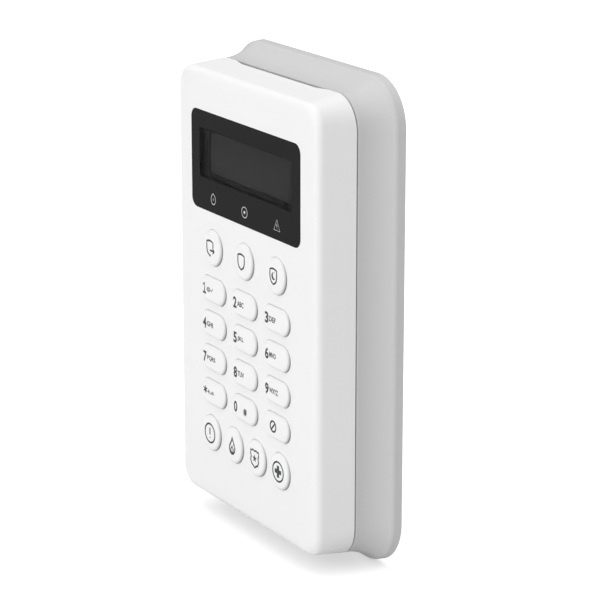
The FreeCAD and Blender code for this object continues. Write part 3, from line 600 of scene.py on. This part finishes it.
def keyMarks(name):
    line = legend["line"]
    digitX = legend["digitX"]
    if name in legend["words"]:
        digit, word = legend["words"][name]
        return [drawText(digit, digitX, 0, legend["digitWidth"], legend["digitHeight"],
                         legend["digitWeight"]),
                smallWord(word, legend["wordHeight"])]
    if name == "key_1":
        return [drawCurve(shifted(oneShape, digitX, 0), legend["digitLine"]),
                smallWord(*legend["signs"][name])]
    if name == "key_star":
        return [drawCurve(shifted(asteriskShape, digitX, 0.3), legend["starLine"]),
                smallWord(*legend["signs"][name])]
    if name == "key_0":
        return [drawText("0", digitX, 0, *legend["zero"]), drawText("#", *legend["hash"])]
    if name == "key_clear":
        return [drawCurve(clearShape, line)]
    shield = shifted([(mirrored(shieldSide), True)], -0.7, 0)
    if name == "key_away":
        return [drawCurve(shifted([(openShield, False)], -0.9, 0) + arrowShape, line)]
    if name == "key_stay":
        return [drawCurve(shield, line)]
    if name == "key_night":
        return [drawCurve(shield, line), drawCurve([(moon(-0.6, 0.0, 1.45), True)], 0)]
    circle = ring(0, 0, legend["ringRadius"])
    if name == "key_alert":
        return [drawCurve([circle], line), drawCurve(alertShape, legend["digitLine"])]
    if name == "key_fire":
        return [drawCurve([(flameSide, True), (flameHeart, True)], line)]
    if name == "key_police":
        return [drawCurve([(mirrored(badgeSide), True)], line), drawCurve([(star(1.7, 0.42), True)], 0)]
    return [drawCurve([circle], line), drawCurve([(plusShape, True)], 0)]


def paintAndRide(piece, material, body):
    piece.data.materials.clear()
    piece.data.materials.append(material)
    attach(piece, body)


# key caps: a soft edge, a straight wall down through the cover, a flange behind it and a stem

capShape = {
    "sides": 96,
    "overlap": 0.06,  # how far the cap fills its gap in the cover, mm
    "edgeWide": 1.7,  # the soft edge, across the face
    "edgeDeep": 1.15,  # and down the side
    "edgeSteps": 7,
    "flangeWide": 0.8,
    "flangeFront": 3.7,  # below the top of the cap
    "flangeBack": 4.7,
    "stemInset": 2.2,
    "smoothAngle": 35,
    "paintedShadeColor": "#585859",  # painted shade colour, mixed into the edge low on the right
    "paintedShadeSide": (0.8, -0.6),  # the way the painted shade lies from the middle, across and up
    "paintedShadeSpread": 2,  # how soon the painted shade fades round the edge
    "paintedShadeFall": 1.3,  # how soon the painted shade sets in, down the edge
}

# painted shade: the key plastic's colour is mixed towards dark grey round the lower right of each cap's
# edge
paintedShadePlace = addNode(keyPlastic.node_tree, "ShaderNodeAttribute", attribute_name="paintedEdgeShade")
keyShader = keyPlastic.node_tree.nodes["Principled BSDF"]
keyTone = keyShader.inputs["Base Color"].links[0].from_socket
paintedShadeMix = addNode(keyPlastic.node_tree, "ShaderNodeMix", {7: linear(capShape["paintedShadeColor"])},
                {0: paintedShadePlace.outputs["Fac"], 6: keyTone}, data_type="RGBA")
keyPlastic.node_tree.links.new(paintedShadeMix.outputs[2], keyShader.inputs["Base Color"])


def makeCap(width, height, depth):
    # width and height are the cap's own, and depth is from its top to the end of its stem
    radius = height / 2
    wall = radius + capShape["overlap"]
    rings = [
        (radius - capShape["stemInset"], depth - capShape["flangeBack"]),
        (radius + capShape["flangeWide"], depth - capShape["flangeBack"]),
        (radius + capShape["flangeWide"], depth - capShape["flangeFront"]),
        (wall, depth - capShape["flangeFront"]),
    ]
    for step in range(capShape["edgeSteps"] + 1):
        angle = math.radians(90 * step / capShape["edgeSteps"])
        reach = wall - capShape["edgeWide"] * (1 - math.cos(angle))
        rings.append((reach, depth - capShape["edgeDeep"] * (1 - math.sin(angle))))
    deselectAll()
    start = radius - capShape["stemInset"]
    turn = math.pi / capShape["sides"]
    bpy.ops.mesh.primitive_circle_add(vertices=capShape["sides"], radius=start * mm, fill_type="NGON")
    cap = bpy.context.active_object
    bpy.ops.object.mode_set(mode="EDIT")
    bpy.ops.mesh.select_all(action="SELECT")
    bpy.ops.transform.rotate(value=turn, orient_axis="Z", center_override=(0, 0, 0))
    reach, rise = start, 0
    for nextReach, nextRise in rings:
        bpy.ops.mesh.extrude_region_move(TRANSFORM_OT_translate={"value": (0, 0, (nextRise - rise) * mm)})
        bpy.ops.transform.resize(value=(nextReach / reach, nextReach / reach, 1))
        reach, rise = nextReach, nextRise
    bpy.ops.mesh.select_mode(type="VERT")
    halves = (-1, 1) if width > height else ()
    for side in halves:  # an oval cap's two halves move apart
        bpy.ops.mesh.select_all(action="DESELECT")
        bpy.ops.object.mode_set(mode="OBJECT")
        for vertex in cap.data.vertices:
            vertex.select = vertex.co.x * side > 0
        bpy.ops.object.mode_set(mode="EDIT")
        bpy.ops.transform.translate(value=(side * (width - height) / 2 * mm, 0, 0))
    bpy.ops.mesh.select_all(action="SELECT")
    bpy.ops.mesh.normals_make_consistent(inside=False)
    bpy.ops.object.mode_set(mode="OBJECT")
    bpy.ops.object.shade_smooth_by_angle(angle=math.radians(capShape["smoothAngle"]))
    # painted shade for the finish, in place of the shadow at the cap's edge: none on the face, deepest
    # where the edge meets the cover low on the right
    paintedEdgeShade = cap.data.attributes.new("paintedEdgeShade", "FLOAT", "POINT")
    stretch = (width - height) / 2
    sideX, sideZ = capShape["paintedShadeSide"]
    for vertex, value in zip(cap.data.vertices, paintedEdgeShade.data):
        x, z, rise = vertex.co.x / mm, vertex.co.y / mm, vertex.co.z / mm
        x = math.copysign(max(abs(x) - stretch, 0), x)
        across = (x * sideX + z * sideZ) / max(math.hypot(x, z), 0.001)
        drop = min(max((depth - rise) / capShape["edgeDeep"], 0), 1)
        value.value = drop ** capShape["paintedShadeFall"] * (0.5 + 0.5 * across) ** capShape["paintedShadeSpread"]
    return cap


capMasters = {}
for name in sorted(nodes):
    if not name.startswith("key_"):
        continue
    low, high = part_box(name)
    width = round((high.x - low.x) / mm - 2 * capShape["flangeWide"], 2)
    height = round((high.z - low.z) / mm - 2 * capShape["flangeWide"], 2)
    if (width, height) not in capMasters:
        capMasters[width, height] = makeCap(width, height, (high.y - low.y) / mm)
    master = capMasters[width, height]
    cap = master.copy()
    cap.data = master.data.copy()
    cap.name = "cap_" + name[4:]
    bpy.context.scene.collection.objects.link(cap)
    cap.data.transform(Matrix.Translation(((low.x + high.x) / 2, high.y, (low.z + high.z) / 2)) @ stand)
    paintAndRide(cap, keyPlastic, name + "_cap")
    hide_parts(name)
for master in capMasters.values():
    bpy.data.objects.remove(master)
print("key caps made")

for name in sorted(nodes):
    if not name.startswith("key_"):
        continue
    low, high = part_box(name)
    printed = joinPieces(keyMarks(name), "legend_" + name[4:])
    middle = (low + high) / 2 / mm
    lay(printed, middle.x, low.y / mm, middle.z, legend["relief"])
    paintAndRide(printed, legendInk, name + "_cap")
print("key legends printed")

# display: a gasket round the window, lenses behind it, their marks on its front, and the display's film

display = {
    "markPitch": 24.0,
    "lensRadius": 2.86,
    "lensGap": 0.02,
    "lensEdge": 0.04,
    "markLine": 0.3,
    "markRelief": 0.02,
    "gasketCorner": 3.8,
    "gasketThickness": 0.07,
    "gasketStep": 0.02,  # how much wider than the window it is made
    "filmSize": (65.4, 17.0),
    "filmOffset": (0.8, 0.9),  # from the middle of the display glass
    "filmThickness": 0.25,
    "filmEdge": 0.1,
}
maskLow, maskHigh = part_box("window_mask")
guideLow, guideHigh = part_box("status_light_guide")
markZ = (guideLow.z + guideHigh.z) / 2 / mm
windowLow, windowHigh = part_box("display_window")


def makeGasket():
    # a thin black band round the window's edge, so that no white shows through its side
    deselectAll()
    size = windowHigh - windowLow
    step = display["gasketStep"] * mm
    bpy.ops.mesh.primitive_plane_add(size=1)
    gasket = bpy.context.active_object
    bpy.ops.object.mode_set(mode="EDIT")
    bpy.ops.mesh.select_all(action="SELECT")
    bpy.ops.transform.resize(value=(size.x + step, size.z + step, 1))
    bpy.ops.mesh.bevel(offset=display["gasketCorner"] * mm, segments=10, affect="VERTICES")
    bpy.ops.mesh.select_all(action="SELECT")
    bpy.ops.mesh.delete(type="ONLY_FACE")
    bpy.ops.mesh.select_all(action="SELECT")
    bpy.ops.mesh.extrude_region_move(TRANSFORM_OT_translate={"value": (0, 0, maskHigh.y - windowLow.y)})
    bpy.ops.mesh.select_all(action="SELECT")
    bpy.ops.mesh.normals_make_consistent(inside=False)
    bpy.ops.object.mode_set(mode="OBJECT")
    thick = gasket.modifiers.new("thick", "SOLIDIFY")
    thick.thickness = display["gasketThickness"] * mm
    thick.offset = 1
    bpy.ops.object.modifier_apply(modifier="thick")
    middle = (windowLow + windowHigh) / 2
    gasket.data.transform(Matrix.Translation((middle.x, maskHigh.y, middle.z)) @ stand)
    return gasket


gasket = makeGasket()
gasket.name = "window_gasket"
paintAndRide(gasket, screenInk, "front_unit")


def makeLens(x):
    # a low disc with its edges eased
    deselectAll()
    depth = (maskHigh.y - maskLow.y) - display["lensGap"] * mm
    bpy.ops.mesh.primitive_cylinder_add(vertices=48, radius=display["lensRadius"] * mm, depth=depth)
    lens = bpy.context.active_object
    bpy.ops.object.mode_set(mode="EDIT")
    bpy.ops.mesh.select_all(action="SELECT")
    bpy.ops.mesh.bevel(offset=display["lensEdge"] * mm, segments=2, affect="EDGES")
    bpy.ops.object.mode_set(mode="OBJECT")
    middle = Vector((x * mm, maskHigh.y - depth / 2, markZ * mm))
    lens.data.transform(Matrix.Translation(middle) @ stand)
    return lens


dropSide = [(0, 2.4), (0.5, 1.9), (1.3, 1.3), (1.65, 0.3), (1.6, -0.8), (1.0, -1.7), (0, -2.0)]
triangle = [(0, 2.3), (2.2, -1.8), (-2.2, -1.8)]
marks = {
    "power": ([(mirrored(dropSide), True), ([(0, 0.5), (0, -0.5)], False)], None),
    "ready": ([ring(0, 0, 2.05)], ring(0, 0, 0.62)),
    "trouble": ([(triangle, True), ([(0, 0.7), (0, -0.5)], False), ([(0, -1.0), (0, -1.15)], False)], None),
}
for place, (name, (lines, dot)) in enumerate(marks.items()):
    x = (place - 1) * display["markPitch"]
    lens = makeLens(x)
    lens.name = "status_lens_" + name
    paintAndRide(lens, smokedLens, "front_unit")
    drawn = [drawCurve(lines, display["markLine"])]
    if dot:
        drawn.append(drawCurve([dot], 0))
    mark = joinPieces(drawn, "status_mark_" + name)
    lay(mark, x, windowLow.y / mm, markZ, display["markRelief"])
    paintAndRide(mark, markInk, "front_unit")

glassLow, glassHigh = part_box("lcd_glass")
deselectAll()
bpy.ops.mesh.primitive_cube_add(size=1)
film = bpy.context.active_object
film.name = "display_film"
width, height = display["filmSize"]
middle = (glassLow + glassHigh) / 2
offset = Vector((display["filmOffset"][0] * mm, 0, display["filmOffset"][1] * mm))
frontY = glassLow.y - display["filmThickness"] / 2 * mm
place = Matrix.Translation(Vector((middle.x, frontY, middle.z)) + offset)
film.data.transform(place @ Matrix.Diagonal((width * mm, display["filmThickness"] * mm, height * mm, 1)))
bpy.ops.object.mode_set(mode="EDIT")
bpy.ops.mesh.select_all(action="SELECT")
bpy.ops.mesh.bevel(offset=display["filmEdge"] * mm, segments=2, affect="EDGES")
bpy.ops.object.mode_set(mode="OBJECT")
paintAndRide(film, polariser, "front_unit")
print("display detailed")
